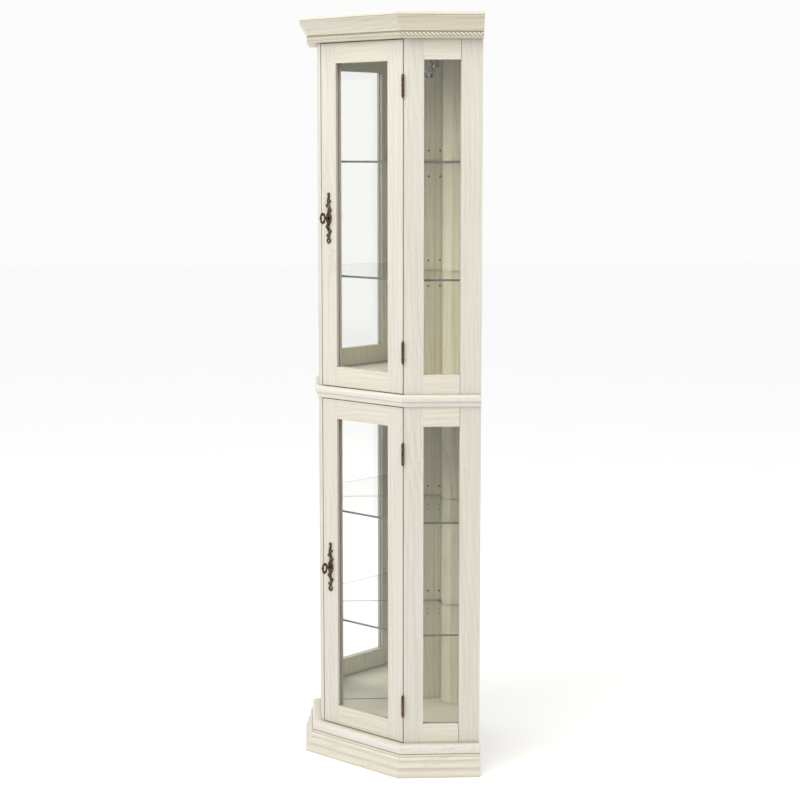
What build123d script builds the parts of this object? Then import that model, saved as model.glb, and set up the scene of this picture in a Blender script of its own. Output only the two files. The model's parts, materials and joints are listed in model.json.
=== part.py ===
from build123d import *
import os
from math import cos, pi, sin, sqrt

# Corner curio cabinet: two stacked glazed cases in a whitewashed wood, each with one glass door
# across the cut corner, fixed glass sides, mirrored backs and two glass shelves.
# Millimetres.  +Z is up and the origin is the middle of the footprint on the floor.
# The two wall sides are the +X and +Y faces.  The doors face the -X -Y corner.

# ---- driving dimensions ----
HEIGHT = 1800.0
WALL = 210.0            # both wall faces stand this far from the origin
BODY = 378.0            # case width along each wall
SIDE = 183.0            # width of each fixed glazed side
T_SIDE = 19.0           # side frame thickness
T_DOOR = 20.0           # door thickness
STILE = 48.0
RAIL = 47.0
WALL_STILE = 50.0       # stile next to the wall
GLASS = 4.0
GROOVE = 6.0            # how far a pane runs into its frame
GAP = 2.0               # gap round a door
LIP = 10.0              # width of the post that shows beside the door's lock edge

# levels
BASE_BOARD_Z = 52.0
CASE_Z = {"lower": (74.0, 889.0), "upper": (918.0, 1738.0)}
WAIST_Z = 900.0
CEILING_T = 12.0
ROPE_Z = 1747.5
TOP_BOARD_Z = 1790.0
SHELVES = {"lower": (331.0, 605.0), "upper": (1182.0, 1456.0)}
HINGES = {"lower": (166.0, 777.0), "upper": (1017.0, 1631.0)}
LOCK_Z = {"lower": 470.0, "upper": 1324.0}

# how far each moulding stands out from the case
OUT_BASE = 38.0
OUT_LEDGE = 21.0
OUT_WAIST = 10.0
OUT_WAIST_LOW = 5.0
OUT_TOP = 42.0
OUT_ROPE = 21.0
OUT_COVE = 41.0
ROPE_R = 5.0
SKIRT_IN = 2.0          # inner faces of the skirts, out from the case
CROWN_IN = 0.1
BOARD_ROUND = {
    "base": 9.0, "base_under": 3.0, "lower_top": 4.0, "waist": 8.0, "waist_under": 6.0,
    "top": 4.0, "top_under": 1.0,
}

# back
BACK_RAIL_T = 18.0
BOARD = 9.0
MIRROR = 3.0
MIRROR_PLAY = 0.5
MIRROR_PLAY_Z = 2.0
MIRROR_END = 95.0       # the mirror stops here and the pin rail begins
POST = 55.0
POST_CHAMFER = 20.0     # cut across the post's front arris
JOINT = 1.0             # shadow gap at the edge of a wall stile
JOINT_DEEP = 1.5
BOARD_SEAM_X = 125.0    # seam between the two pin columns
SHELF_T = 5.0
SHELF_OFF_DOOR = 30.0
SHELF_OFF_SIDE = 22.0
SHELF_OFF_BACK = 0.5
SHELF_OFF_POST = 1.5
SHELF_ROUND = 4.0
PIN_COLUMNS = (109.0, 138.0)
PIN_PITCH = 32.0
PIN_R = 2.5
PIN_DEPTH = 8.0
PIN_DROP = 3.0          # pin's axis below the shelf
TONGUE_W = 8.0
BRACKET_T = 1.5
BRACKET_DROP = 14.0
BRACKET_REACH = 13.0

# hinge
KNUCKLE_R = 3.4
HINGE_PIN_R = 1.5
HINGE_AXIS_OUT = 3.2    # axis to the case's corner
HINGE_LEN = 46.0
KNUCKLE_MID = 15.0      # the door's own knuckle, between the two on the case
KNUCKLE_GAP = 0.3
LEAF = 15.0
LEAF_T = 0.9
LEAF_OFF = 0.1          # leaf to the middle of the gap
HINGE_CAP_R = 3.0
HINGE_CAP_T = 1.5
HINGE_TIP_R = 0.8
HINGE_TIP_LEN = 3.5

# lock
LOCK_S = 36.0           # lock axis to the case's corner, along the door
BARREL_R = 5.5
SHANK_R = 2.0
SHANK_PLAY = 0.05
PLATE_T = 2.5
PLATE_BORE_R = 2.4
PLATE_SCROLLS = ((24.0, 6.5, 1.5), (37.0, 5.0, -1.5), (50.0, 5.5, 1.5), (57.0, 4.0, -1.5))
PLATE_RING_DROP = 55.0
PLATE_RING_BORE_R = 2.2
BOSS_R = 6.5
BOSS_TOP = 4.5
KEY_STEM = 14.0
KEY_BOW = (14.5, 9.5)   # half height, half reach
KEY_BAND = 3.6
KEY_BOW_T = 3.6
KEY_BOW_SEAT = 1.5
KEY_COLLAR_R = 3.4
KEY_COLLAR = (7.5, 10.5)
CAM_REACH = 28.0
CAM_W = 8.0
CAM_T = 2.0
CAM_OFF = 0.5           # cam to the door's inner face
CAM_HEEL = 4.0

# magnetic catch
CATCH_S = (70.0, 110.0)
CATCH_OFF = 1.5
CATCH_DEEP = 12.5
CATCH_H = 13.0
STRIKE_S = (74.0, 106.0)
STRIKE_T = 1.0
STRIKE_DROP = (14.0, 4.0)

# lamp
LAMP = (100.0, 96.0)
LAMP_PIVOT_Z = 1690.0
LAMP_TILT = 25.0
ROSE_R = 26.0
ROSE_T = 8.0
ROSE_ROUND = 3.0
LAMP_STEM_R = 4.5
YOKE_DROP = 19.0        # yoke bar below the ceiling
YOKE_SPAN = 60.0
YOKE_W = 12.0
YOKE_BAR_T = 3.0
YOKE_ARM_T = 2.5
YOKE_ARM_FOOT = -6.0
PIVOT_R = 2.0
PIVOT_LEN = 6.0
PIVOT_PLAY = 0.05
TRUNNION_R = 4.5
TRUNNION_SPAN = 51.0
BELL_R = 16.8
BELL_DEEP = 3.0         # bell's floor below the pivot
LAMP_MOUTH = 24.0       # bell's rim below the pivot

ROOT2 = sqrt(2.0)
TAN = ROOT2 - 1.0                         # tan 22.5 deg, the half turn at each front corner
FAR = (WALL - BODY, WALL - SIDE)          # front corner at the lock edge
NEAR = (WALL - SIDE, WALL - BODY)         # front corner at the hinges
DOOR_RUN = (BODY - SIDE) * ROOT2
MITRE_EASE = GAP / 2 / cos(pi / 8)         # half the hinge gap, measured along a face
FRONT = WALL - BODY                       # outer face of a glazed side
INNER = FRONT + T_SIDE                    # its inner face
MIRROR_FACE = WALL - BOARD - MIRROR


# ---- helpers ----
def corners(out):
    """Outline of the case in plan, grown by out on its three open sides."""
    return [
        (WALL, WALL),
        (FRONT - out, WALL),
        (FRONT - out, FAR[1] - TAN * out),
        (NEAR[0] - TAN * out, FRONT - out),
        (WALL, FRONT - out),
    ]


def prism(points, z_low, z_high):
    face = make_face(Polyline(*points, close=True))
    return extrude(Plane.XY.offset(z_low) * face, amount=z_high - z_low)


def block(x, y, z):
    """Box from three (low, high) pairs."""
    size = [high - low for low, high in (x, y, z)]
    middle = [(high + low) / 2 for low, high in (x, y, z)]
    return Pos(*middle) * Box(*size)


def swap(part):
    """Mirror in the cabinet's diagonal, which swaps the two walls."""
    return mirror(part, about=Plane(origin=(0, 0, 0), z_dir=(1, -1, 0)))


def door_point(s, n):
    """Plan point s along the door from its lock corner and n in from its face."""
    return (FAR[0] + (s + n) / ROOT2, FAR[1] + (n - s) / ROOT2)


def door_prism(points, z_low, z_high):
    return prism([door_point(s, n) for s, n in points], z_low, z_high)


def door_block(s, n, z):
    return door_prism([(s[0], n[0]), (s[1], n[0]), (s[1], n[1]), (s[0], n[1])], *z)


def lock_frame(z):
    """Frame on the lock axis: x along the door, y up, z out of the door's face."""
    x, y = door_point(LOCK_S, 0)
    return Plane(origin=(x, y, z), x_dir=(1, -1, 0), z_dir=(-1, -1, 0))


def mitre_point(u, v):
    """Plan point u in along the hinge corner's mitre and v towards the fixed side."""
    inward = (sin(pi / 8), cos(pi / 8))
    return (NEAR[0] + u * inward[0] + v * inward[1], NEAR[1] + u * inward[1] - v * inward[0])


def mitre_block(u, v, z):
    plan = [(u[0], v[0]), (u[1], v[0]), (u[1], v[1]), (u[0], v[1])]
    return prism([mitre_point(a, b) for a, b in plan], *z)


def side_strip(side, profile):
    """A moulding along one open side, cut to its mitres.  profile is a face in (out, height)."""
    inner, outer, reach, above = 60.0, 80.0, 600.0, 10.0
    left_in, left_out = corners(-inner), corners(outer)
    ends = {
        "left": (1, 2, (-1, 0, 0), (FRONT, WALL)),
        "front": (2, 3, (-1, -1, 0), FAR),
        "right": (3, 4, (0, -1, 0), NEAR),
    }
    a, b, normal, start = ends[side]
    wedge = [left_in[a], left_out[a], left_out[b], left_in[b]]
    out = Vector(*normal).normalized()
    along = out.cross(Vector(0, 0, 1))
    plane = Plane(origin=(*start, 0), x_dir=out, z_dir=along)
    bar = extrude(plane * profile, amount=reach, both=True)
    return bar & prism(wedge, -above, HEIGHT + above)


def outline(start, *steps):
    """Closed face from a start point, straight steps (x, y) and arcs ((via), (end))."""
    edges = []
    at = start
    for step in steps:
        if isinstance(step[0], tuple):
            edges.append(ThreePointArc(at, step[0], step[1]))
            at = step[1]
        else:
            edges.append(Line(at, step))
            at = step
    edges.append(Line(at, start))
    return make_face(edges)


def open_edges(part, z):
    """Edges of a board at height z that lie on its open sides."""
    close = 0.01
    return [
        edge for edge in part.edges()
        if abs(edge.center().Z - z) < close
        and edge.center().X < WALL - close and edge.center().Y < WALL - close
    ]


def post_edges(part, limit):
    """Upright edges whose X and Y are both under limit."""
    return [e for e in part.edges().filter_by(Axis.Z) if max(e.center().X, e.center().Y) < limit]


def save(name, part):
    solids = part.solids()
    export_step(solids[0] if len(solids) == 1 else Compound(children=solids), f"parts/{name}.step")


# ---- base, waist and crown ----
def base_board():
    z_high = CASE_Z["lower"][0]
    board = prism(corners(OUT_LEDGE), BASE_BOARD_Z, z_high)
    board = fillet(open_edges(board, z_high), BOARD_ROUND["base"])
    return fillet(open_edges(board, BASE_BOARD_Z), BOARD_ROUND["base_under"])


def skirt_profile():
    """Plinth band, then two hollows, each with a ridge at its foot that catches the light."""
    return outline(
        (SKIRT_IN, 0), (OUT_BASE - 1, 0), (OUT_BASE, 1), (OUT_BASE, 7),
        ((OUT_BASE - 0.8, 9), (OUT_BASE - 3, 9.8)),
        ((OUT_BASE - 7, 14), (OUT_BASE - 6.5, 21)),
        (OUT_BASE - 5, 22), (OUT_BASE - 5, 24),
        ((OUT_BASE - 6, 25.6), (OUT_BASE - 8, 26)),
        ((OUT_BASE - 12.5, 31), (OUT_BASE - 12.5, 38)),
        (OUT_BASE - 11, 39.5), (OUT_BASE - 11, 42),
        ((OUT_BASE - 12, 45), (OUT_BASE - 16, 46)),
        (OUT_BASE - 16, BASE_BOARD_Z), (SKIRT_IN, BASE_BOARD_Z),
    )


def back_rails():
    """Rails along the two walls that close the base and the crown from behind."""
    crown_z = (CASE_Z["upper"][1] + CEILING_T, TOP_BOARD_Z)
    rails = []
    for out, z in ((SKIRT_IN, (0, BASE_BOARD_Z)), (CROWN_IN, crown_z)):
        rails.append(block((FRONT - out, WALL), (WALL - BACK_RAIL_T, WALL), z))
        rails.append(block((WALL - BACK_RAIL_T, WALL), (FRONT - out, WALL - BACK_RAIL_T), z))
    return rails


def lower_top_board():
    z_low = CASE_Z["lower"][1]
    board = prism(corners(OUT_WAIST_LOW), z_low, WAIST_Z)
    return fillet(open_edges(board, z_low), BOARD_ROUND["lower_top"])


def waist_board():
    z_high = CASE_Z["upper"][0]
    board = prism(corners(OUT_WAIST), WAIST_Z, z_high)
    board = fillet(open_edges(board, z_high), BOARD_ROUND["waist"])
    return fillet(open_edges(board, WAIST_Z), BOARD_ROUND["waist_under"])


def ceiling_board():
    z_low = CASE_Z["upper"][1]
    return prism(corners(0), z_low, z_low + CEILING_T)


def crown_profile():
    """Small lip, a flat seat for the rope bead, then a hollow that rises to the top board."""
    z_low = CASE_Z["upper"][1]
    z_cove = ROPE_Z + ROPE_R + 1
    z_brow = TOP_BOARD_Z - 3.5
    return outline(
        (CROWN_IN, z_low), (OUT_ROPE - 4, z_low),
        ((OUT_ROPE - 1.2, z_low + 1.2), (OUT_ROPE, z_low + 4)),
        (OUT_ROPE, z_cove), (OUT_ROPE + 3, z_cove + 1),
        ((OUT_COVE - 10.5, z_brow - 14), (OUT_COVE - 1, z_brow)),
        (OUT_COVE - 1, TOP_BOARD_Z), (CROWN_IN, TOP_BOARD_Z),
    )


def rope_profile():
    return outline(
        (OUT_ROPE, ROPE_Z - ROPE_R),
        ((OUT_ROPE + ROPE_R, ROPE_Z), (OUT_ROPE, ROPE_Z + ROPE_R)),
    )


def top_board():
    board = prism(corners(OUT_TOP), TOP_BOARD_Z, HEIGHT)
    board = fillet(open_edges(board, HEIGHT), BOARD_ROUND["top"])
    return fillet(open_edges(board, TOP_BOARD_Z), BOARD_ROUND["top_under"])


# ---- fixed glazed sides ----
def side_frame(case, hinge_side):
    """Two stiles and two rails round a pane, on the fixed side next to the hinges or the lock."""
    z_low, z_high = CASE_Z[case]
    open_low, open_high = z_low + RAIL, z_high - RAIL
    x_open = (NEAR[0] + STILE, WALL - WALL_STILE)
    if hinge_side:
        plan = [
            (NEAR[0] + MITRE_EASE, FRONT), (x_open[0], FRONT), (x_open[0], INNER),
            (NEAR[0] + TAN * T_SIDE + MITRE_EASE, INNER),
        ]
    else:
        lip = LIP / ROOT2
        plan = [
            (NEAR[0], FRONT), (x_open[0], FRONT), (x_open[0], INNER),
            (NEAR[0] - 2 * lip + T_SIDE, INNER), (NEAR[0] - lip, FRONT + lip),
        ]
    groove = block(
        (x_open[0] - GROOVE, x_open[1] + GROOVE), glass_y(),
        (open_low - GROOVE, open_high + GROOVE),
    )
    pieces = [
        prism(plan, z_low, z_high),
        block((x_open[1], WALL), (FRONT, INNER), (z_low, z_high)),
        block(x_open, (FRONT, INNER), (z_low, open_low)),
        block(x_open, (FRONT, INNER), (open_high, z_high)),
    ]
    pieces[1] -= block((x_open[1], x_open[1] + JOINT), (FRONT, FRONT + JOINT_DEEP), (z_low, z_high))
    return [piece - groove for piece in pieces]


def glass_y():
    middle = FRONT + T_SIDE / 2
    return (middle - GLASS / 2, middle + GLASS / 2)


def side_pane(case):
    z_low, z_high = CASE_Z[case]
    return block(
        (NEAR[0] + STILE - GROOVE, WALL - WALL_STILE + GROOVE), glass_y(),
        (z_low + RAIL - GROOVE, z_high - RAIL + GROOVE),
    )


# ---- back ----
def back_board(case, with_corner):
    """Back board on the +Y wall: thin behind the mirror, thick where the shelf pins go."""
    z_low, z_high = CASE_Z[case]
    end = WALL if with_corner else MIRROR_FACE
    plan = [
        (INNER, WALL), (end, WALL), (end, MIRROR_FACE), (MIRROR_END, MIRROR_FACE),
        (MIRROR_END, WALL - BOARD), (INNER, WALL - BOARD),
    ]
    board = prism(plan, z_low, z_high)
    board -= block((BOARD_SEAM_X, BOARD_SEAM_X + JOINT), (MIRROR_FACE, MIRROR_FACE + JOINT), (z_low, z_high))
    for x in PIN_COLUMNS:
        for shelf in SHELVES[case]:
            for step in (-1, 0, 1):
                board -= pin_hole(x, shelf - PIN_DROP + step * PIN_PITCH)
    return board


def pin_hole(x, z):
    hole = Cylinder(PIN_R, PIN_DEPTH)
    return Pos(x, MIRROR_FACE + PIN_DEPTH / 2, z) * Rot(90, 0, 0) * hole


def mirror_pane(case):
    z_low, z_high = CASE_Z[case]
    return block(
        (INNER + MIRROR_PLAY, MIRROR_END - MIRROR_PLAY), (MIRROR_FACE, WALL - BOARD),
        (z_low + MIRROR_PLAY_Z, z_high - MIRROR_PLAY_Z),
    )


def corner_post(case):
    low = MIRROR_FACE - POST
    post = block((low, MIRROR_FACE), (low, MIRROR_FACE), CASE_Z[case])
    return chamfer(post_edges(post, low + JOINT), POST_CHAMFER)


# ---- shelves ----
def shelf(z):
    side = FRONT + SHELF_OFF_SIDE
    back = MIRROR_FACE - SHELF_OFF_BACK
    notch = MIRROR_FACE - POST - SHELF_OFF_POST
    slope = FAR[0] + FAR[1] + SHELF_OFF_DOOR * ROOT2
    plan = [
        (side, back), (side, slope - side), (slope - side, side), (back, side),
        (back, notch), (notch, notch), (notch, back),
    ]
    glass = prism(plan, z, z + SHELF_T)
    return fillet(post_edges(glass, notch - SHELF_OFF_POST), SHELF_ROUND)


def shelf_pin(x, z):
    """Plug in the board with a flat tongue under the shelf."""
    collar_t, reach = 2.0, 12.0
    axis_z = z - PIN_DROP
    plug = Pos(x, MIRROR_FACE + PIN_DEPTH / 2, axis_z) * Rot(90, 0, 0) * Cylinder(PIN_R, PIN_DEPTH)
    collar = Pos(x, MIRROR_FACE - collar_t / 2, axis_z) * Rot(90, 0, 0) * Cylinder(PIN_DROP, collar_t)
    width = (x - TONGUE_W / 2, x + TONGUE_W / 2)
    tongue = block(width, (MIRROR_FACE - reach, MIRROR_FACE - collar_t), (axis_z, z))
    return plug + collar + tongue


def side_bracket(x, z):
    """Small angle on the inside of a glazed side that carries the shelf's front."""
    width = (x - TONGUE_W / 2, x + TONGUE_W / 2)
    plate = block(width, (INNER, INNER + BRACKET_T), (z - BRACKET_DROP, z - BRACKET_T))
    tongue = block(width, (INNER, INNER + BRACKET_REACH), (z - BRACKET_T, z))
    return plate + tongue


def shelf_pins():
    pins = []
    for case in CASE_Z:
        for z in SHELVES[case]:
            for x in PIN_COLUMNS:
                pins += [shelf_pin(x, z), swap(shelf_pin(x, z))]
            for x in (NEAR[0] + STILE / 2 + TONGUE_W / 2, WALL - WALL_STILE / 2):
                pins += [side_bracket(x, z), swap(side_bracket(x, z))]
    return pins


# ---- doors ----
def door_z(case):
    z_low, z_high = CASE_Z[case]
    return (z_low + GAP, z_high - GAP)


def door_pieces(case):
    z_low, z_high = door_z(case)
    s_low = LIP + GAP
    s_high = DOOR_RUN - MITRE_EASE
    s_open = (s_low + STILE, s_high - STILE)
    z_open = (z_low + RAIL, z_high - RAIL)
    n_glass = (T_DOOR / 2 - GLASS / 2, T_DOOR / 2 + GLASS / 2)
    pane = ((s_open[0] - GROOVE, s_open[1] + GROOVE), n_glass, (z_open[0] - GROOVE, z_open[1] + GROOVE))
    groove = door_block(*pane)
    lock_stile = door_block((s_low, s_open[0]), (0, T_DOOR), (z_low, z_high)) - groove
    barrel_bore = lock_frame(LOCK_Z[case]) * Pos(0, 0, -T_DOOR / 2) * Cylinder(BARREL_R, T_DOOR + 2)
    hinge_plan = [
        (s_open[1], 0), (s_high, 0), (s_high - TAN * T_DOOR, T_DOOR), (s_open[1], T_DOOR),
    ]
    return {
        "lock_stile": lock_stile - barrel_bore,
        "hinge_stile": door_prism(hinge_plan, z_low, z_high) - groove,
        "top_rail": door_block(s_open, (0, T_DOOR), (z_open[1], z_high)) - groove,
        "bottom_rail": door_block(s_open, (0, T_DOOR), (z_low, z_open[0])) - groove,
        "glass": groove,
    }


# ---- hinges ----
def hinge_leaf(z, on_case):
    """One leaf of a butt hinge: a plate in the gap and its knuckles outside the corner."""
    side = 1 if on_case else -1
    v = sorted((side * LEAF_OFF, side * (LEAF_OFF + LEAF_T)))
    half = HINGE_LEN / 2
    mid = KNUCKLE_MID / 2
    ends = [(-half, -mid - KNUCKLE_GAP), (mid + KNUCKLE_GAP, half)]
    spans = ends if on_case else [(-mid, mid)]
    leaf = mitre_block((0.5, LEAF), v, (z - half, z + half))
    x, y = mitre_point(-HINGE_AXIS_OUT, 0)
    bore = HINGE_PIN_R if on_case else HINGE_PIN_R + SHANK_PLAY
    for low, high in spans:
        knuckle = Pos(x, y, z + (low + high) / 2) * Cylinder(KNUCKLE_R, high - low)
        neck = mitre_block((-HINGE_AXIS_OUT, 1), v, (z + low, z + high))
        leaf += knuckle + neck
    return leaf - Pos(x, y, z) * Cylinder(bore, HINGE_LEN + 2)


def hinge_pin(z):
    x, y = mitre_point(-HINGE_AXIS_OUT, 0)
    half = HINGE_LEN / 2
    pin = Pos(x, y, z) * Cylinder(HINGE_PIN_R, HINGE_LEN)
    cap = Pos(0, 0, HINGE_CAP_T / 2) * Cylinder(HINGE_CAP_R, HINGE_CAP_T)
    point = Cone(HINGE_CAP_R, HINGE_TIP_R, HINGE_TIP_LEN)
    cap += Pos(0, 0, HINGE_CAP_T + HINGE_TIP_LEN / 2) * point
    for way, turn in ((1, 0), (-1, 180)):
        pin += Pos(x, y, z + way * half) * Rot(turn, 0, 0) * cap
    return pin


# ---- lock, key and catch ----
def lock_plate(case):
    """Long pierced backplate: a boss in the middle, scrolls above and below, a ring at its foot."""
    face = Ellipse(9.5, 17) + Rectangle(6, 104)
    for y, radius, lean in PLATE_SCROLLS:
        face += Pos(lean, y) * Circle(radius)
        face += Pos(-lean, -y) * Circle(radius)
    face -= Pos(0, -PLATE_RING_DROP) * Circle(PLATE_RING_BORE_R)
    plate = extrude(face, amount=PLATE_T)
    boss = Pos(0, 0, (PLATE_T + BOSS_TOP) / 2) * Cylinder(BOSS_R, BOSS_TOP - PLATE_T)
    plate = plate + boss - Cylinder(PLATE_BORE_R, 3 * BOSS_TOP)
    return lock_frame(LOCK_Z[case]) * plate


def lock_barrel(case):
    """Sleeve through the stile that the key turns in."""
    tube = Cylinder(BARREL_R, T_DOOR) - Cylinder(SHANK_R + SHANK_PLAY, T_DOOR + 2)
    return lock_frame(LOCK_Z[case]) * Pos(0, 0, -T_DOOR / 2) * tube


def key(case):
    """Key with an oval bow standing off the door, and the cam on its inner end."""
    reach = T_DOOR + CAM_OFF + CAM_T
    bow_z, bow_n = KEY_BOW
    shank = Pos(0, 0, (KEY_STEM - reach) / 2) * Cylinder(SHANK_R, KEY_STEM + reach)
    collar = Pos(0, 0, sum(KEY_COLLAR) / 2) * Cylinder(KEY_COLLAR_R, KEY_COLLAR[1] - KEY_COLLAR[0])
    loop = Ellipse(bow_z, bow_n) - Ellipse(bow_z - KEY_BAND, bow_n - KEY_BAND)
    ring = extrude(loop, amount=KEY_BOW_T / 2, both=True)
    bow = Pos(0, 0, KEY_STEM + bow_n - KEY_BOW_SEAT) * (Plane.YZ * ring)
    cam = Pos(0, (CAM_HEEL - CAM_REACH) / 2, CAM_T / 2 - reach) * Box(CAM_W, CAM_REACH + CAM_HEEL, CAM_T)
    return lock_frame(LOCK_Z[case]) * (shank + collar + bow + cam)


def catch(case):
    """Magnetic catch under the board above the door."""
    z_high = CASE_Z[case][1]
    start = T_DOOR + CATCH_OFF
    return door_block(CATCH_S, (start, start + CATCH_DEEP), (z_high - CATCH_H, z_high))


def strike(case):
    """Steel plate on the door that the catch pulls."""
    z_high = CASE_Z[case][1]
    span_z = (z_high - STRIKE_DROP[0], z_high - STRIKE_DROP[1])
    return door_block(STRIKE_S, (T_DOOR, T_DOOR + STRIKE_T), span_z)


# ---- lamp ----
def lamp_frame():
    """Frame on the lamp's pivot: x along the tilt axis, y towards the back corner."""
    return Plane(origin=(LAMP[0], LAMP[1], LAMP_PIVOT_Z), x_dir=(1, -1, 0), z_dir=(0, 0, 1))


def lamp_yoke():
    """Ceiling rose, stem and a yoke whose two pivots hold the lamp head."""
    top = CASE_Z["upper"][1] - LAMP_PIVOT_Z
    rose = Pos(0, 0, top - ROSE_T / 2) * Cylinder(ROSE_R, ROSE_T)
    rose = fillet(rose.edges().sort_by(Axis.Z)[0], ROSE_ROUND)
    stem = Pos(0, 0, top - YOKE_DROP / 2) * Cylinder(LAMP_STEM_R, YOKE_DROP)
    bar_top = top - YOKE_DROP
    bar = Pos(0, 0, bar_top - YOKE_BAR_T / 2) * Box(YOKE_SPAN, YOKE_W, YOKE_BAR_T)
    arm_h = bar_top - YOKE_ARM_FOOT
    arm_x = (YOKE_SPAN - YOKE_ARM_T) / 2
    pivot_x = (YOKE_SPAN - YOKE_ARM_T * 2 - PIVOT_LEN) / 2 + YOKE_ARM_T / 2
    yoke = rose + stem + bar
    for way in (-1, 1):
        yoke += Pos(way * arm_x, 0, YOKE_ARM_FOOT + arm_h / 2) * Box(YOKE_ARM_T, YOKE_W, arm_h)
        yoke += Pos(way * pivot_x, 0, 0) * Rot(0, 90, 0) * Cylinder(PIVOT_R, PIVOT_LEN)
    return lamp_frame() * yoke


def lamp_head():
    """Tapered can with cooling steps behind and an open bell in front."""
    body = outline(
        (0, 18), (13, 18), (15, 16), (15, 6), (20, 2),
        (21.5, -LAMP_MOUTH), (19.5, -LAMP_MOUTH), (17, -BELL_DEEP), (0, -BELL_DEEP),
    )
    can = revolve(Plane.XZ * body, Axis.Z)
    can += Rot(0, 90, 0) * Cylinder(TRUNNION_R, TRUNNION_SPAN)
    bell_h = LAMP_MOUTH - BELL_DEEP + 1
    can -= Pos(0, 0, -BELL_DEEP - bell_h / 2) * Cylinder(BELL_R, bell_h)
    socket_x = (TRUNNION_SPAN - PIVOT_LEN / 2) / 2
    for way in (-1, 1):
        can -= Pos(way * socket_x, 0, 0) * Rot(0, 90, 0) * Cylinder(PIVOT_R + PIVOT_PLAY, PIVOT_LEN)
    return lamp_frame() * Rot(-LAMP_TILT, 0, 0) * can


def lamp_bulb():
    lens = outline((0, -BELL_DEEP), (6, -BELL_DEEP), (7, -8), (15, -16), (15, -19), (0, -19))
    return lamp_frame() * Rot(-LAMP_TILT, 0, 0) * revolve(Plane.XZ * lens, Axis.Z)


# ---- write every piece ----
def main():
    os.makedirs("parts", exist_ok=True)
    save("base_board", base_board())
    save("back_rails", Compound(children=back_rails()))
    save("lower_top_board", lower_top_board())
    save("waist_board", waist_board())
    save("ceiling_board", ceiling_board())
    save("top_board", top_board())
    for side in ("left", "front", "right"):
        save(f"base_skirt_{side}", side_strip(side, skirt_profile()))
        save(f"crown_{side}", side_strip(side, crown_profile()))
    ropes = [side_strip(side, rope_profile()) for side in ("left", "front", "right")]
    save("rope_bead", Part() + ropes)

    for case in CASE_Z:
        save(f"{case}_right_frame", Compound(children=side_frame(case, True)))
        save(f"{case}_left_frame", Compound(children=[swap(p) for p in side_frame(case, False)]))
        save(f"{case}_right_glass", side_pane(case))
        save(f"{case}_left_glass", swap(side_pane(case)))
        save(f"{case}_back_board_left", back_board(case, True))
        save(f"{case}_back_board_right", swap(back_board(case, False)))
        save(f"{case}_mirrors", Part() + [mirror_pane(case), swap(mirror_pane(case))])
        save(f"{case}_corner_post", corner_post(case))
        for level, z in zip(("low", "high"), SHELVES[case]):
            save(f"{case}_shelf_{level}", shelf(z))
        for piece, solid in door_pieces(case).items():
            save(f"{case}_door_{piece}", solid)
        door_leaves = [hinge_leaf(z, False) for z in HINGES[case]]
        save(f"{case}_door_hinge_leaves", Part() + door_leaves)
        save(f"{case}_lock_plate", lock_plate(case))
        save(f"{case}_lock_barrel", lock_barrel(case))
        save(f"{case}_key", key(case))
        save(f"{case}_door_strike", strike(case))

    hinge_levels = [z for case in CASE_Z for z in HINGES[case]]
    save("case_hinge_leaves", Part() + [hinge_leaf(z, True) for z in hinge_levels])
    save("hinge_pins", Part() + [hinge_pin(z) for z in hinge_levels])
    save("shelf_pins", Part() + shelf_pins())
    save("door_catches", Part() + [catch(case) for case in CASE_Z])
    save("lamp_yoke", lamp_yoke())
    save("lamp_head", lamp_head())
    save("lamp_bulb", lamp_bulb())


main()
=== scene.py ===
"""Looks for the corner curio cabinet: whitewashed ash, clear glass, mirrors and antique brass."""
import json
import math

import bmesh
import bpy
from mathutils import Matrix, Vector


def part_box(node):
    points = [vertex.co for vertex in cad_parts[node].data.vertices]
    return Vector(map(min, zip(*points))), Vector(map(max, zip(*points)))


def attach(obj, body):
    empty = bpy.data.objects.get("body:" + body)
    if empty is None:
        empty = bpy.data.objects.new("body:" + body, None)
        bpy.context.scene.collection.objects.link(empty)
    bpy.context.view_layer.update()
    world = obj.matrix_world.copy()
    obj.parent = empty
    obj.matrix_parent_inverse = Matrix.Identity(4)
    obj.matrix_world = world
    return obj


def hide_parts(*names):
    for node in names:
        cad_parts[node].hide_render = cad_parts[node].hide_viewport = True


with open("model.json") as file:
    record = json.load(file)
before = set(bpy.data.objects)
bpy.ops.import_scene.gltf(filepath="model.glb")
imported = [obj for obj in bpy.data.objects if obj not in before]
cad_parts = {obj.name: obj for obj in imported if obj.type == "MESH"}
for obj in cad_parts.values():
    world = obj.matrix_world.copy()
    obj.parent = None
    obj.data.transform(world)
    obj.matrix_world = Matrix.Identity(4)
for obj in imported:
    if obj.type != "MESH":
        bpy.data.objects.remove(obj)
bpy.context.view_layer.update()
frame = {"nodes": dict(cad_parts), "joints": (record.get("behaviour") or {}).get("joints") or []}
nodes = frame["nodes"]
joints = {j["name"]: j for j in frame["joints"]}
CASES = ("lower", "upper")

# ---- plan of the cabinet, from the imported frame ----
board_low, board_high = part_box("ceiling_board")
FRONT = board_low.x                    # outer face of a glazed side
WALL = board_high.x                    # wall faces
SIDE_LENGTH = 0.183                    # width of a fixed side
MITRE = math.tan(math.pi / 8)          # run of a mitre along a side, for each unit outwards
BOARD_DEPTH = 0.012                    # wall face to the front of the back boards
PIN_COLUMNS = (0.109, 0.138)           # shelf-pin holes along each back board
PIN_HOLE_REACH = 0.0032                # from a column's middle to just past a hole's wall
PIN_HOLE_SPAN = (WALL - BOARD_DEPTH + 0.0002, WALL - 0.002)   # from a hole's mouth to past its bottom
FAR = Vector((FRONT, WALL - SIDE_LENGTH))
NEAR = Vector((WALL - SIDE_LENGTH, FRONT))
DOOR_ALONG = Vector((1, -1, 0)).normalized()
DOOR_OUT = Vector((-1, -1, 0)).normalized()
UP = Vector((0, 0, 1))
PANE_GROOVE = 0.006                    # how far a pane runs into its frame
MM = 0.001

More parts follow.
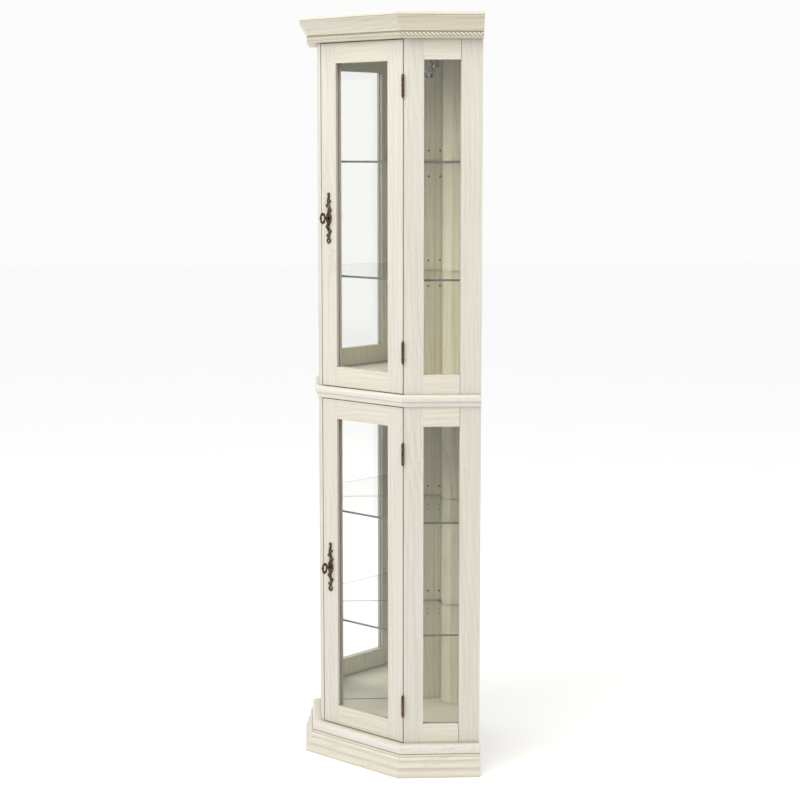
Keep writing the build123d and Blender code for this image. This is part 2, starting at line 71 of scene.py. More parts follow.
# ---- wood colours, before each wood's tone ----
PALE_WASH = (0.587, 0.568, 0.502)
WARM_WASH = (0.598, 0.565, 0.508)
GLAZE = (0.405, 0.366, 0.280)
# glaze and painted shade for corners and crevices
CORNER_GLAZE_AND_SHADE = (0.38, 0.33, 0.24)
RUBBED_EDGE = (0.50, 0.43, 0.32)
# painted shade in the rope's grooves
ROPE_GROOVE_SHADE = (0.16, 0.13, 0.085, 1)

# ---- rope bead ----
ROPE_PLAY = 0.0001                     # kept inside the CAD bead by this much
ROPE_STRANDS = 3
ROPE_LEAD = 0.0288                     # length of one full turn of a strand
ROPE_AROUND = 36
ROPE_STEP = 0.0011
ROPE_CORE = 0.62                       # radius at a groove, as a share of the radius at a strand
ROPE_FLANK = 0.8                       # below 1 makes the strands full and the grooves narrow
# painted shade in the rope's grooves: its width, its strength and its share on the front
ROPE_SHADE_WIDTH = 0.6
ROPE_SHADE_DEPTH = 1.3
ROPE_SHADE_FRONT = 0.72                # share of the painted groove shade on the front, against the top

# ---- lock plate, in millimetres ----
BALL_THRESHOLD = 0.6
BALL_REACH = 1.55                      # a ball's field, as a share of its radius
BALL_GRID, BALL_GRID_QUICK = 0.55, 0.9
PLATE_SQUASH = 0.9
STEM_BALLS = 26                        # along the stem from the boss to each end
SCROLL_IN = 0.72                       # how far a scroll winds in to its eye

# ---- key, in millimetres ----
SHANK_END = -22.5
STEM = 14.0
BOW_HALF_WIDTH, BOW_HALF_HEIGHT, BOW_THICK = 6.5, 11.0, 2.35
BOW_CENTRE = STEM + 7.4
BOW_STEPS, BOW_AROUND = 72, 14
BOW_BEADS = (0.0, 0.9, math.pi / 2, 2.24, -0.9, -math.pi / 2, -2.24)
BOW_BEAD_SPREAD, BOW_BEAD_SWELL = 0.17, 0.5
CAM_HALF, CAM_REACH, CAM_EASE = 4.0, 28.0, 2.0
CAM_THICK, CAM_ROUND, CAM_FACE = 2.0, 0.3, 0.9      # CAM_FACE is the flat face's share of the width

# ---- studio and camera ----
WORLD_STRENGTH = 0.97
LAMP_COLOUR = (1.0, 0.985, 0.955)
LAMP_AIM = Vector((0, 0, 0.9))
LAMPS = (                              # name, place, size, power
    ("key_light", (-2.6, -2.0, 3.0), 1.6, 46.0),
    ("top_light", (-0.3, -1.3, 3.9), 1.4, 34.0),
)
FLOOR_SIZE = 40
EYE_HEIGHT = 1.481
CAMERA_DISTANCE = 4.253                # from the glazed side
CAMERA_LEFT = 0.020                    # left of the case
CAMERA_AIM = Vector((0.0488, 1.0, -0.1352))
SENSOR_WIDTH, LENS, CLIP_END = 36.0, 82.6, 100.0


def corners(out):
    """Plan corners of the three open sides, grown by out: left end, lock corner, hinge corner, right end."""
    return [
        Vector((FRONT - out, WALL)),
        Vector((FRONT - out, FAR.y - MITRE * out)),
        Vector((NEAR.x - MITRE * out, FRONT - out)),
        Vector((WALL, FRONT - out)),
    ]


# ---- shader building ----
class Shader:
    """A node material.  put() adds a node; its inputs are values, colours or other nodes' outputs."""

    def __init__(self, name):
        self.material = bpy.data.materials.new(name)
        self.material.use_nodes = True
        self.tree = self.material.node_tree
        self.tree.nodes.clear()
        self.output = self.tree.nodes.new("ShaderNodeOutputMaterial")

    def put(self, kind, inputs=None, **settings):
        node = self.tree.nodes.new("ShaderNode" + kind)
        for key, value in settings.items():
            setattr(node, key, value)
        for key, value in (inputs or {}).items():
            if isinstance(value, bpy.types.NodeSocket):
                self.tree.links.new(value, node.inputs[key])
            else:
                node.inputs[key].default_value = value
        return node

    def math(self, operation, a, b=0.0, c=0.0):
        return self.put("Math", {0: a, 1: b, 2: c}, operation=operation).outputs[0]

    def blend(self, amount, a, b, mode="MIX"):
        node = self.put("Mix", data_type="RGBA", blend_type=mode)
        for index, value in ((0, amount), (6, a), (7, b)):
            if isinstance(value, bpy.types.NodeSocket):
                self.tree.links.new(value, node.inputs[index])
            else:
                node.inputs[index].default_value = value
        return node.outputs[2]

    def ramp(self, value, low, high, out_low=0.0, out_high=1.0):
        inputs = {"Value": value, "From Min": low, "From Max": high, "To Min": out_low, "To Max": out_high}
        return self.put("MapRange", inputs, interpolation_type="SMOOTHSTEP").outputs["Result"]

    def noise(self, vector, scale, detail=2.0, roughness=0.5, stretch=(1, 1, 1)):
        stretched = self.put("Mapping", {"Vector": vector, "Scale": stretch}).outputs[0]
        inputs = {"Vector": stretched, "Scale": scale, "Detail": detail, "Roughness": roughness}
        return self.put("TexNoise", inputs).outputs["Fac"]

    def finish(self, surface):
        self.tree.links.new(surface, self.output.inputs["Surface"])
        return self.material


GRAIN_TURN = {                         # brings each grain direction upright
    "upright": (0.0, 0.0, 0.0),
    "x": (0.0, math.pi / 2, 0.0),
    "y": (math.pi / 2, 0.0, 0.0),
    "door": (0.0, math.pi / 2, 0.0),   # after a turn of 45 degrees about the upright
}


def wood(name, grain, shift=(0.0, 0.0, 0.0), tone=(1.0, 1.0, 1.0), figure=0.30, shaded_grooves=False):
    """Whitewashed ash: growth rings that break out as arcs, open pores with glaze in them, satin lacquer,
    glaze and painted shade in corners.

    shaded_grooves adds painted shade where the mesh's groove attribute is high.
    """

    def toned(colour):
        return (*(c * t for c, t in zip(colour, tone)), 1)

    s = Shader(name)
    place = s.put("TexCoord").outputs["Object"]
    if grain == "door":
        half_corner = {"Vector": place, "Angle": math.pi / 4}
        place = s.put("VectorRotate", half_corner, rotation_type="Z_AXIS").outputs[0]
    place = s.put("Mapping", {"Vector": place, "Location": shift, "Rotation": GRAIN_TURN[grain]}).outputs[0]

    # growth rings round a leaning, wandering heart
    wander = s.put("TexNoise", {"Vector": place, "Scale": 2.2, "Detail": 2.0}).outputs["Color"]
    wander = s.put("VectorMath", {0: wander, 1: (0.5, 0.5, 0.5)}, operation="SUBTRACT").outputs[0]
    wander = s.put("VectorMath", {0: wander, "Scale": 0.075}, operation="SCALE").outputs[0]
    lean = s.put("SeparateXYZ", {"Vector": place})
    heart = s.put("CombineXYZ", {
        "X": s.math("MULTIPLY_ADD", lean.outputs["Z"], 0.06, 0.045),
        "Y": s.math("MULTIPLY_ADD", lean.outputs["Z"], -0.05, 0.03),
    }).outputs[0]
    ring_place = s.put("VectorMath", {0: place, 1: heart}, operation="ADD").outputs[0]
    ring_place = s.put("VectorMath", {0: ring_place, 1: wander}, operation="ADD").outputs[0]
    rings = s.put("TexWave", {
        "Vector": ring_place, "Scale": 26.0, "Distortion": 2.4, "Detail": 3.0, "Detail Scale": 5.0,
    }, wave_type="RINGS", rings_direction="Z", wave_profile="SAW").outputs["Fac"]
    ring_line = s.ramp(rings, 0.62, 1.0)

    # open pores, denser in the ring lines, and fine streaks between them
    pores = s.noise(place, 1.0, 3.0, 0.55, (820, 820, 34))
    pores = s.ramp(pores, 0.53, 0.70)
    streaks = s.noise(place, 1.0, 3.0, 0.6, (210, 210, 3.5))
    streaks = s.ramp(streaks, 0.35, 0.68)
    open_grain = s.math("MULTIPLY", pores, s.math("MULTIPLY_ADD", ring_line, 0.75, 0.25))

    # colour: cream wash, glaze in the grain, slow drift from pinkish to greenish cream
    drift = s.ramp(s.noise(place, 1.0, 2.0, 0.5, (9, 9, 1.4)), 0.35, 0.68)
    glaze = toned(GLAZE)
    wash = s.blend(drift, toned(PALE_WASH), toned(WARM_WASH))
    patchy = s.ramp(s.noise(place, 1.0, 2.0, 0.5, (26, 26, 5)), 0.35, 0.66)
    wash = s.blend(s.math("MULTIPLY", streaks, 0.26), wash, glaze)
    wash = s.blend(s.math("MULTIPLY", s.math("MULTIPLY", ring_line, patchy), figure), wash, glaze)
    wash = s.blend(s.math("MULTIPLY", open_grain, 0.55), wash, glaze)

    # glaze and painted shade in corners, from an occlusion mask, and wash rubbed thin on edges
    crevice_glaze_and_shade = s.put("AmbientOcclusion", {"Distance": 0.009}, samples=6).outputs["AO"]
    crevice_glaze_and_shade = s.ramp(crevice_glaze_and_shade, 0.30, 0.92, 0.80, 0.0)
    wash = s.blend(crevice_glaze_and_shade, wash, toned(CORNER_GLAZE_AND_SHADE))
    # painted shade in the rope's grooves
    if shaded_grooves:
        groove = s.put("Attribute", attribute_name="groove").outputs["Fac"]
        wash = s.blend(s.ramp(groove, 0.25, 0.95, 0.0, 0.92), wash, ROPE_GROOVE_SHADE)

    soft_edge = s.put("Bevel", {"Radius": 0.0011}, samples=6).outputs[0]
    face = s.put("NewGeometry").outputs["Normal"]
    edge = s.put("VectorMath", {0: soft_edge, 1: face}, operation="DOT_PRODUCT").outputs["Value"]
    edge = s.ramp(edge, 0.995, 0.86)
    rub = s.math("MULTIPLY", edge, s.ramp(s.noise(place, 60.0, 3.0), 0.45, 0.65))
    wash = s.blend(s.math("MULTIPLY", rub, 0.35), wash, toned(RUBBED_EDGE))

    height = s.math("MULTIPLY_ADD", open_grain, -0.8, s.math("MULTIPLY", ring_line, -0.25))
    height = s.math("MULTIPLY_ADD", streaks, -0.15, height)
    bump = s.put("Bump", {
        "Height": height, "Normal": soft_edge, "Strength": 0.30, "Distance": 0.0006,
    }).outputs[0]
    rough = s.math("MULTIPLY_ADD", s.noise(place, 25.0, 2.0), 0.14, 0.38)
    surface = s.put("BsdfPrincipled", {
        "Base Color": wash, "Roughness": rough, "Normal": bump, "IOR": 1.46, "Coat Weight": 0.12,
        "Coat Roughness": 0.28,
    })
    return s.finish(surface.outputs[0])


def clear_glass(name, tint, shade, roughness=0.0):
    """Float glass.  Shadow rays pass with a tint, so daylight reaches inside the case."""
    s = Shader(name)
    place = s.put("TexCoord").outputs["Object"]
    smear = s.ramp(s.noise(place, 7.0, 4.0, 0.6), 0.5, 0.8, roughness, roughness + 0.012)
    wave = s.noise(place, 3.0, 1.0)
    bump = s.put("Bump", {"Height": wave, "Strength": 0.02, "Distance": 0.002}).outputs[0]
    body = s.put("BsdfPrincipled", {
        "Base Color": tint, "Transmission Weight": 1.0, "IOR": 1.45, "Roughness": smear, "Normal": bump,
    }).outputs[0]
    gap = s.put("BsdfTransparent", {"Color": shade}).outputs[0]
    shadow = s.put("LightPath").outputs["Is Shadow Ray"]
    return s.finish(s.put("MixShader", {0: shadow, 1: body, 2: gap}).outputs[0])


def hole_shade():
    """Bare wood in the shadow of a drilled hole."""
    s = Shader("drilled_hole")
    place = s.put("TexCoord").outputs["Object"]
    tone = s.blend(s.noise(place, 300.0, 2.0), (0.035, 0.028, 0.020, 1), (0.080, 0.064, 0.045, 1))
    return s.finish(s.put("BsdfPrincipled", {"Base Color": tone, "Roughness": 0.9}).outputs[0])


def glass_edge():
    """Polished edge of a glass shelf, where the green of the glass shows."""
    s = Shader("glass_shelf_edge")
    place = s.put("TexCoord").outputs["Object"]
    cloud = s.noise(place, 40.0, 3.0)
    green = s.blend(cloud, (0.060, 0.070, 0.050, 1), (0.115, 0.130, 0.100, 1))
    surface = s.put("BsdfPrincipled", {
        "Base Color": green, "Roughness": s.ramp(cloud, 0.3, 0.7, 0.12, 0.25), "IOR": 1.5,
    })
    return s.finish(surface.outputs[0])


def silver_mirror():
    """Silvered glass with the faintest bloom."""
    s = Shader("silver_mirror")
    place = s.put("TexCoord").outputs["Object"]
    bloom = s.noise(place, 9.0, 4.0, 0.6)
    tone = s.blend(bloom, (0.955, 0.965, 0.95, 1), (0.975, 0.98, 0.97, 1))
    rough = s.ramp(bloom, 0.45, 0.8, 0.0, 0.02)
    surface = s.put("BsdfPrincipled", {"Base Color": tone, "Metallic": 1.0, "Roughness": rough})
    return s.finish(surface.outputs[0])


def antique_brass():
    """Cast brass gone dark, rubbed bright on its high spots."""
    s = Shader("antique_brass")
    place = s.put("TexCoord").outputs["Object"]
    patina = s.noise(place, 260.0, 4.0, 0.6)
    broad = s.noise(place, 45.0, 3.0)
    dark = s.blend(s.ramp(broad, 0.35, 0.7), (0.046, 0.031, 0.020, 1), (0.100, 0.066, 0.038, 1))
    soft = s.put("Bevel", {"Radius": 0.0009}, samples=4).outputs[0]
    face = s.put("NewGeometry").outputs["Normal"]
    edge = s.put("VectorMath", {0: soft, 1: face}, operation="DOT_PRODUCT").outputs["Value"]
    bright = s.math("MULTIPLY", s.ramp(edge, 0.985, 0.8), s.ramp(patina, 0.4, 0.6))
    cavity = s.put("AmbientOcclusion", {"Distance": 0.003}, samples=4).outputs["AO"]
    high = s.math("MULTIPLY", s.ramp(cavity, 0.72, 1.0), s.ramp(patina, 0.42, 0.66))
    worn = s.math("MAXIMUM", bright, s.math("MULTIPLY", high, 0.55))
    colour = s.blend(worn, dark, (0.30, 0.205, 0.115, 1))
    bump = s.put("Bump", {"Height": patina, "Normal": soft, "Strength": 0.35, "Distance": 0.0003}).outputs[0]
    rough = s.ramp(worn, 0.0, 1.0, 0.50, 0.28)
    surface = s.put("BsdfPrincipled", {
        "Base Color": colour, "Metallic": 1.0, "Roughness": rough, "Normal": bump,
    })
    return s.finish(surface.outputs[0])


def plain_metal(name, colour, rough_low, rough_high, scale, stretch=(1, 1, 1)):
    """Plated metal with fine handling marks."""
    s = Shader(name)
    place = s.put("TexCoord").outputs["Object"]
    marks = s.noise(place, scale, 4.0, 0.6, stretch)
    darker = tuple(c * 0.86 for c in colour[:3]) + (1,)
    tone = s.blend(s.ramp(marks, 0.35, 0.7), darker, colour)
    bump = s.put("Bump", {"Height": marks, "Strength": 0.08, "Distance": 0.0002}).outputs[0]
    rough = s.ramp(marks, 0.3, 0.7, rough_low, rough_high)
    surface = s.put("BsdfPrincipled", {
        "Base Color": tone, "Metallic": 1.0, "Roughness": rough, "Normal": bump,
    })
    return s.finish(surface.outputs[0])


def floor_material():
    """Plain pale studio floor."""
    s = Shader("studio_floor")
    place = s.put("TexCoord").outputs["Object"]
    tone = s.blend(s.noise(place, 1.5, 2.0), (0.975, 0.975, 0.975, 1), (0.985, 0.985, 0.985, 1))
    return s.finish(s.put("BsdfPrincipled", {"Base Color": tone, "Roughness": 0.6}).outputs[0])


# ---- finished materials ----
WOOD = {                               # name, grain, place in the log, tone, strength of the figure
    "upright": wood("ash_upright", "upright"),
    "upright_b": wood("ash_upright_b", "upright", (0.137, 0.211, 0.43)),
    "x": wood("ash_along_x", "x", (0.05, 0.02, 0.3), (1.07, 1.06, 1.02), 0.42),
    "y": wood("ash_along_y", "y", (0.09, 0.12, 0.1), (1.07, 1.06, 1.02), 0.42),
    "door": wood("ash_along_door", "door", (0.03, 0.08, 0.7), (1.04, 1.03, 0.99), 0.42),
    "crown_x": wood("ash_crown_x", "x", (0.11, 0.16, 0.7), (0.96, 0.93, 0.84), 0.45),
    "crown_door": wood("ash_crown_door", "door", (0.17, 0.03, 0.4), (0.94, 0.92, 0.87), 0.45),
    "board": wood("ash_boards", "door", (0.21, 0.04, 0.5), (1.11, 1.10, 1.13), 0.25),
    "floor": wood("ash_floors", "x", (0.07, 0.13, 0.8), (1.10, 1.09, 1.02), 0.35),
    "skirt_x": wood("ash_skirt_x", "x", (0.15, 0.09, 0.2), (1.10, 1.10, 1.06), 0.42),
    "skirt_door": wood("ash_skirt_door", "door", (0.11, 0.02, 0.9), (1.10, 1.10, 1.06), 0.42),
    "inside": wood("ash_inside", "upright", (0.31, 0.07, 0.9), (0.99, 0.98, 0.81), 0.60),
    # inner faces of frames and doors: a lighter copy of the wood, painted light on faces turned away from the
    # lamps
    "frame_inside": wood("ash_frame_inside", "upright", (0.23, 0.19, 0.1), (1.25, 1.24, 1.10), 0.30),
    "post": wood("ash_post", "upright", (0.02, 0.15, 0.6), (1.14, 1.13, 0.97), 0.60),
    "rope": wood("ash_rope", "door", (0.12, 0.05, 0.2), (1.10, 1.08, 1.02), 0.1, shaded_grooves=True),
}
PANE = clear_glass("pane_glass", (0.995, 0.997, 0.990, 1), (0.97, 0.975, 0.955, 1))
SHELF_GLASS = clear_glass("shelf_glass", (0.975, 0.985, 0.970, 1), (0.95, 0.965, 0.945, 1))
SHELF_EDGE = glass_edge()
HOLE = hole_shade()
BULB = clear_glass("bulb_glass", (0.95, 0.95, 0.92, 1), (0.9, 0.9, 0.9, 1), 0.05)
MIRROR = silver_mirror()
BRASS = antique_brass()
STEEL = plain_metal("zinc_plate", (0.56, 0.56, 0.55, 1), 0.28, 0.42, 180.0)
CHROME = plain_metal("chrome_plate", (0.72, 0.72, 0.73, 1), 0.04, 0.14, 60.0)

MOULDINGS = {                          # wood of each length of moulding
    "base_skirt_left": "y", "base_skirt_front": "skirt_door", "base_skirt_right": "skirt_x",
    "crown_left": "y", "crown_front": "crown_door", "crown_right": "crown_x",
}


# ---- materials on the CAD nodes ----
def paint(name, materials, pick=None):
    """Gives a node its materials; pick(middle, normal) returns the index for each face."""
    mesh = nodes[name].data
    mesh.materials.clear()
    for material in materials:
        mesh.materials.append(material)
    for polygon in mesh.polygons:
        polygon.material_index = pick(polygon.center, polygon.normal) if pick else 0


def paint_frames():
    """Stiles have upright grain and rails have it along their own length; inner faces get a lighter copy of
    the wood, painted light.
    """
    for case in CASES:
        low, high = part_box(f"{case}_right_glass")
        pane_start, pane_end = low.x, high.x

        def member(along, inward):
            """0 and 2 for the two stiles, 1 for a rail and 3 for an inner face."""
            if inward > 0.9:
                return 3
            if pane_start + PANE_GROOVE < along < pane_end - PANE_GROOVE:
                return 1
            return 2 if along > pane_end else 0

        upright, upright_b, inside = WOOD["upright"], WOOD["upright_b"], WOOD["frame_inside"]
        paint(f"{case}_right_frame", [upright, WOOD["x"], upright_b, inside],
              lambda middle, normal: member(middle.x, normal.y))
        paint(f"{case}_left_frame", [upright_b, WOOD["y"], upright, inside],
              lambda middle, normal: member(middle.y, normal.x))


def in_pin_hole(middle, normal):
    """1 for a face inside a shelf-pin hole, which is a drilled pocket in the front of a back board."""
    along, into = sorted((middle.x, middle.y))
    near = any(abs(along - column) < PIN_HOLE_REACH for column in PIN_COLUMNS)
    return 1 if near and PIN_HOLE_SPAN[0] < into < PIN_HOLE_SPAN[1] and abs(normal.z) < 0.999 else 0


def faces_inward(middle, normal):
    """1 for a face on the inner side of a door."""
    return 1 if normal.dot(DOOR_OUT) < -0.9 else 0


def on_edge(middle, normal):
    """1 for a face on the edge of a shelf."""
    return 0 if abs(normal.z) > 0.7 else 1


def is_level(middle, normal):
    """1 for the top or the underside of a board."""
    return 1 if abs(normal.z) > 0.99 else 0


def paint_rest():
    """Every node but the side frames."""
    for name in nodes:
        if name.endswith("_frame"):
            continue
        if "_shelf_" in name:
            paint(name, [SHELF_GLASS, SHELF_EDGE], on_edge)
        elif name.endswith("_glass"):
            paint(name, [PANE])
        elif name.endswith("_mirrors"):
            paint(name, [MIRROR])
        elif name == "lamp_bulb":
            paint(name, [BULB])
        elif name.startswith("lamp_"):
            paint(name, [CHROME])
        elif "hinge_leaves" in name or name == "hinge_pins" or "lock_plate" in name or name.endswith("_key"):
            paint(name, [BRASS])
        elif "lock_barrel" in name or "strike" in name or name in ("door_catches", "shelf_pins"):
            paint(name, [STEEL])
        elif name in MOULDINGS:
            paint(name, [WOOD[MOULDINGS[name]]])
        elif name.endswith("_board"):
            paint(name, [WOOD["board"], WOOD["floor"]], is_level)
        # inner faces of door rails and stiles take the lighter copy of the wood: painted light
        elif name.endswith(("top_rail", "bottom_rail")):
            paint(name, [WOOD["door"], WOOD["frame_inside"]], faces_inward)
        elif name.endswith("_stile"):
            paint(name, [WOOD["upright"], WOOD["frame_inside"]], faces_inward)
        elif name.endswith("_post"):
            paint(name, [WOOD["post"]])
        elif "back_board" in name:
            paint(name, [WOOD["inside"], HOLE], in_pin_hole)
        else:
            paint(name, [WOOD["x"]])


# ---- mesh helpers ----
def new_mesh(name, vertices, faces):
    """Mesh with all its normals outwards."""
    mesh = bpy.data.meshes.new(name)
    mesh.from_pydata(vertices, [], faces)
    tidy = bmesh.new()
    tidy.from_mesh(mesh)
    bmesh.ops.recalc_face_normals(tidy, faces=tidy.faces)
    tidy.to_mesh(mesh)
    tidy.free()
    return mesh


def add_piece(name, mesh, material, body, node):
    """Puts a smooth mesh in the scene, on its body and in place of a CAD node."""
    mesh.materials.clear()
    mesh.materials.append(material)
    for polygon in mesh.polygons:
        polygon.use_smooth = True
    piece = bpy.data.objects.new(name, mesh)
    bpy.context.scene.collection.objects.link(piece)
    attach(piece, body)
    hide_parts(node)
    return piece


def band_faces(columns, start, end):
    """Quads between two closed rows of vertices that begin at start and end."""
    faces = []
    for j in range(columns):
        k = (j + 1) % columns
        faces.append((start + j, start + k, end + k, end + j))
    return faces


def grid_faces(rows, columns, first=0):
    """Quads of a tube: rows along it, columns closed round it, with a cap at each end."""
    faces = []
    for i in range(rows - 1):
        faces += band_faces(columns, first + i * columns, first + (i + 1) * columns)
    faces.append(tuple(first + j for j in reversed(range(columns))))
    faces.append(tuple(first + (rows - 1) * columns + j for j in range(columns)))
    return faces


# ---- rope bead under the crown ----
def rope_bead():
    """A three-strand twisted bead in one mitred run round the three open sides, with painted shade in its
    grooves that is heaviest on top.
    """
    low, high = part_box("rope_bead")
    middle_z = (low.z + high.z) / 2
    radius = (high.z - low.z) / 2 - ROPE_PLAY
    seat = (FRONT - low.x) - radius - ROPE_PLAY
    vertices, faces, grooves = [], [], []
    for side in range(3):
        length = (corners(seat)[side + 1] - corners(seat)[side]).length
        rows = int(length / ROPE_STEP)
        first = len(vertices)
        for i in range(rows + 1):
            f = i / rows
            turn = 2 * math.pi * f * length / ROPE_LEAD
            for j in range(ROPE_AROUND):
                angle = 2 * math.pi * j / ROPE_AROUND
                lobe = abs(math.cos(ROPE_STRANDS * (angle + turn) / 2)) ** ROPE_FLANK
                r = radius * (ROPE_CORE + (1 - ROPE_CORE) * lobe)
                out, z = seat + r * math.cos(angle), middle_z + r * math.sin(angle)
                ends = corners(out)
                spot = ends[side].lerp(ends[side + 1], f)
                vertices.append((spot.x, spot.y, z))
                # painted shade in the grooves, full on top of the rope and less on its front
                above = ROPE_SHADE_FRONT + (1 - ROPE_SHADE_FRONT) * max(0.0, math.sin(angle))
                grooves.append((1 - lobe) ** ROPE_SHADE_WIDTH * above * ROPE_SHADE_DEPTH)
        faces += grid_faces(rows + 1, ROPE_AROUND, first)
    name = "twisted_rope_bead"
    piece = add_piece(name, new_mesh(name, vertices, faces), WOOD["rope"], "cabinet", "rope_bead")
    attribute = piece.data.attributes.new("groove", "FLOAT", "POINT")
    attribute.data.foreach_set("value", grooves)


# ---- cast lock plate and key ----
def lock_matrix(case):
    """Frame on the lock axis: x along the door, y up, z out of the door's face."""
    spot = Vector(joints[f"{case}_key_turn"]["pos_m"])
    turn = Matrix((DOOR_ALONG, UP, DOOR_OUT)).transposed().to_4x4()
    return Matrix.Translation(spot) @ turn


def blob_mesh(name, blobs, resolution):
    """Mesh of a soft union of (x, y, z, radius) balls, in millimetres."""
    ball = bpy.data.metaballs.new(name)
    ball.resolution = resolution
    ball.render_resolution = resolution
    ball.threshold = BALL_THRESHOLD
    for x, y, z, radius in blobs:
        element = ball.elements.new()
        element.co = (x, y, z)
        element.radius = radius * BALL_REACH
    holder = bpy.data.objects.new(name, ball)
    bpy.context.scene.collection.objects.link(holder)
    bpy.context.view_layer.update()
    depsgraph = bpy.context.evaluated_depsgraph_get()
    mesh = bpy.data.meshes.new_from_object(holder.evaluated_get(depsgraph))
    bpy.data.objects.remove(holder)
    bpy.data.metaballs.remove(ball)
    return mesh


def scroll(centre, radius, start, turns, thick, taper, steps=16):
    """Balls along a spiral that winds in to its eye."""
    blobs = []
    for i in range(steps):
        f = i / (steps - 1)
        angle = start + turns * 2 * math.pi * f
        r = radius * (1 - SCROLL_IN * f)
        blobs.append((
            centre[0] + r * math.cos(angle), centre[1] + r * math.sin(angle), 1.1 + 0.8 * f,
            thick * (1 - taper * f),
        ))
    return blobs


def oval(count, half_width, half_height, middle, z, radius):
    """Balls round an oval."""
    turns = [2 * math.pi * i / count for i in range(count)]
    return [(half_width * math.cos(a), middle + half_height * math.sin(a), z, radius) for a in turns]


def plate_blobs():
    """Oval boss, paired scrolls above and below, leaf tips, a finial and a ring at the foot."""
    blobs = oval(20, 6.9, 12.4, 0.0, 1.3, 2.8) + oval(16, 3.4, 7.2, 0.0, 1.7, 2.6)
    for way in (1, -1):
        reach = 41 if way > 0 else 36
        for i in range(STEM_BALLS):
            f = i / (STEM_BALLS - 1)
            sway = 2.2 * math.sin(2 * math.pi * f * 1.15)
            swell = 0.5 * math.sin(9 * f)
            blobs.append((sway * way, way * (13 + reach * f), 1.3 + swell, 3.9 - 1.2 * f))
        start = 0.0 if way < 0 else math.pi
        blobs += scroll((5.0 * way, way * 20.0), 4.1, start, 1.1 * way, 2.5, 0.3)
        blobs += scroll((-4.8 * way, way * 30.5), 3.8, math.pi - start, -1.1 * way, 2.4, 0.3)
        blobs += scroll((3.8 * way, way * 41.0), 3.1, start, 1.0 * way, 2.2, 0.3)
    for x, y in ((-2.3, 56), (2.3, 56), (-1.6, 59.0), (1.6, 59.0), (0, 53)):
        blobs.append((x, y, 1.5, 2.3))
    return blobs + oval(16, 5.0, 5.2, -53.6, 1.4, 2.1)


def place_cast(name, mesh, case, body, node):
    """Puts a millimetre mesh on the lock axis, as brass."""
    mesh.transform(lock_matrix(case) @ Matrix.Scale(MM, 4))
    add_piece(name, mesh, BRASS, body, node)


def lathe(profile, around=28):
    """Closed turned shape about z from (radius, z) points, in millimetres."""
    vertices = []
    for r, z in profile:
        for j in range(around):
            angle = 2 * math.pi * j / around
            vertices.append((r * math.cos(angle), r * math.sin(angle), z))
    return vertices, grid_faces(len(profile), around)


def key_shank():
    """Turned shank and collars."""
    return lathe([
        (2.0, SHANK_END), (2.0, 6.0), (3.3, 6.3), (3.7, 7.4), (3.3, 8.5), (2.3, 8.9), (2.3, 10.0),
        (2.9, 10.4), (3.1, 11.0), (2.9, 11.6), (2.1, 12.1), (1.9, STEM), (1.6, STEM + 1.6), (0.4, STEM + 2.4),
    ])


def key_bow(first):
    """Oval loop with small beads round it."""
    vertices, faces = [], []
    for i in range(BOW_STEPS):
        angle = 2 * math.pi * i / BOW_STEPS
        swell = 1 + BOW_BEAD_SWELL * sum(
            math.exp(-((math.remainder(angle - bead, 2 * math.pi)) / BOW_BEAD_SPREAD) ** 2)
            for bead in BOW_BEADS
        )
        centre = Vector((
            0, BOW_HALF_HEIGHT * math.sin(angle), BOW_CENTRE + BOW_HALF_WIDTH * math.cos(angle)))
        outward = Vector((
            0, math.sin(angle) / BOW_HALF_HEIGHT, math.cos(angle) / BOW_HALF_WIDTH)).normalized()
        r = BOW_THICK * swell
        for j in range(BOW_AROUND):
            a = 2 * math.pi * j / BOW_AROUND
            vertices.append(tuple(centre + outward * (r * math.cos(a)) + Vector((r * math.sin(a), 0, 0))))
        start, end = (first + n * BOW_AROUND for n in (i, (i + 1) % BOW_STEPS))
        faces += band_faces(BOW_AROUND, start, end)
    return vertices, faces


def key_cam(first):
    """Rounded tongue on the inner end of the key."""
    rim = [(CAM_HALF * math.cos(math.pi * i / 8), CAM_HALF * math.sin(math.pi * i / 8)) for i in range(9)]
    for x, y in ((-1, CAM_EASE), (-1, 0), (1, 0), (1, CAM_EASE)):
        rim.append((x * (CAM_HALF if y else CAM_HALF - CAM_EASE), y - CAM_REACH))
    top = SHANK_END + CAM_THICK
    faces_and_edges = (
        (SHANK_END, CAM_FACE, CAM_ROUND), (SHANK_END + CAM_ROUND, 1.0, 0.0),
        (top - CAM_ROUND, 1.0, 0.0), (top, CAM_FACE, CAM_ROUND),
    )
    vertices = []
    for z, width, ease in faces_and_edges:
        vertices += [(x * width, y + (ease if y < 0 else -ease), z) for x, y in rim]
    return vertices, grid_faces(len(faces_and_edges), len(rim), first)


def key_mesh(name):
    """Shank, bow and cam as one mesh."""
    vertices, faces = key_shank()
    for part in (key_bow, key_cam):
        more_vertices, more_faces = part(len(vertices))
        vertices += more_vertices
        faces += more_faces
    return new_mesh(name, vertices, faces)


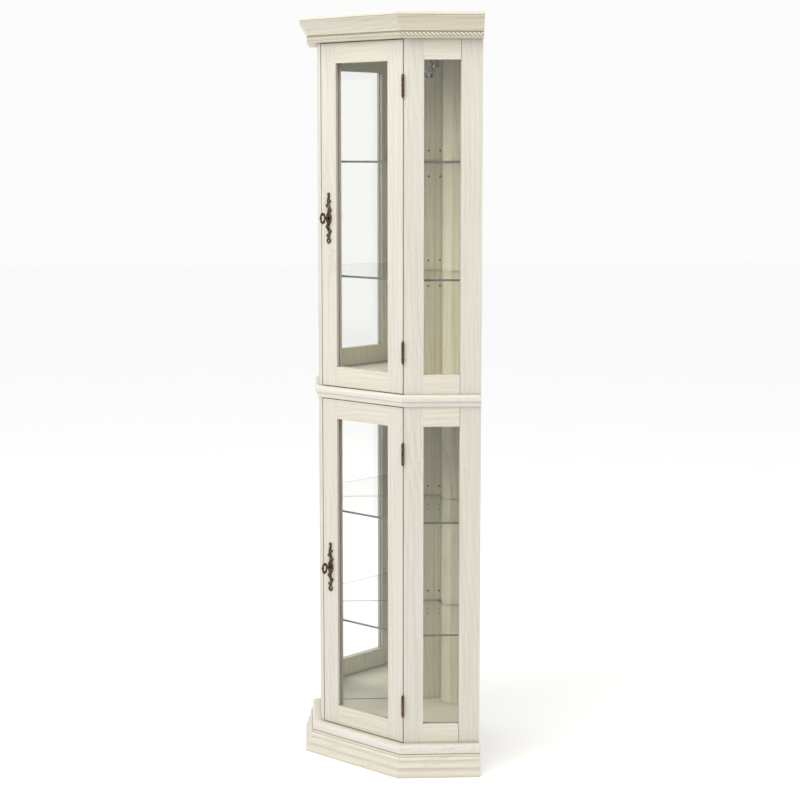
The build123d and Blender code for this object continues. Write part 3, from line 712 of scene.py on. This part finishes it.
def plate_mesh(name):
    """Cast plate, a little flatter than its balls and cut off at the door's face."""
    mesh = blob_mesh(name, plate_blobs(), BALL_GRID)
    for vertex in mesh.vertices:
        vertex.co.z = max(vertex.co.z * PLATE_SQUASH, 0.0)
    return mesh


def locks():
    """A plate and a key on each door."""
    for case in CASES:
        plate, key = f"{case}_cast_lock_plate", f"{case}_turned_key"
        place_cast(plate, plate_mesh(plate), case, f"{case}_door", f"{case}_lock_plate")
        place_cast(key, key_mesh(key), case, f"{case}_key", f"{case}_key")


# ---- studio ----
def studio():
    """Pale floor, white surroundings and two soft lamps."""
    bpy.ops.mesh.primitive_plane_add(size=FLOOR_SIZE, location=(0, 0, 0))
    floor = bpy.context.object
    floor.name = "studio_floor"
    floor.data.materials.append(floor_material())

    scene = bpy.context.scene
    world = bpy.data.worlds.new("studio")
    world.use_nodes = True
    background = world.node_tree.nodes["Background"].inputs
    background["Color"].default_value = (1.0, 1.0, 1.0, 1)
    background["Strength"].default_value = WORLD_STRENGTH
    scene.world = world
    scene.view_settings.view_transform = "Standard"

    for name, spot, size, power in LAMPS:
        data = bpy.data.lights.new(name, "AREA")
        data.size = size
        data.energy = power
        data.color = LAMP_COLOUR
        lamp = bpy.data.objects.new(name, data)
        lamp.location = spot
        lamp.rotation_mode = "QUATERNION"
        lamp.rotation_quaternion = (Vector(spot) - LAMP_AIM).to_track_quat("Z", "Y")
        scene.collection.objects.link(lamp)


def camera():
    """Stands in front of the right-hand fixed side, just left of the case, at a standing eye's height."""
    data = bpy.data.cameras.new("camera")
    data.sensor_width = SENSOR_WIDTH
    data.lens = LENS
    data.dof.use_dof = False
    data.clip_end = CLIP_END
    cam = bpy.data.objects.new("camera", data)
    cam.location = (FRONT - CAMERA_LEFT, FRONT - CAMERA_DISTANCE, EYE_HEIGHT)
    cam.rotation_mode = "QUATERNION"
    cam.rotation_quaternion = CAMERA_AIM.normalized().to_track_quat("-Z", "Y")
    bpy.context.scene.collection.objects.link(cam)
    bpy.context.scene.camera = cam


paint_frames()
paint_rest()
rope_bead()
locks()
studio()
camera()
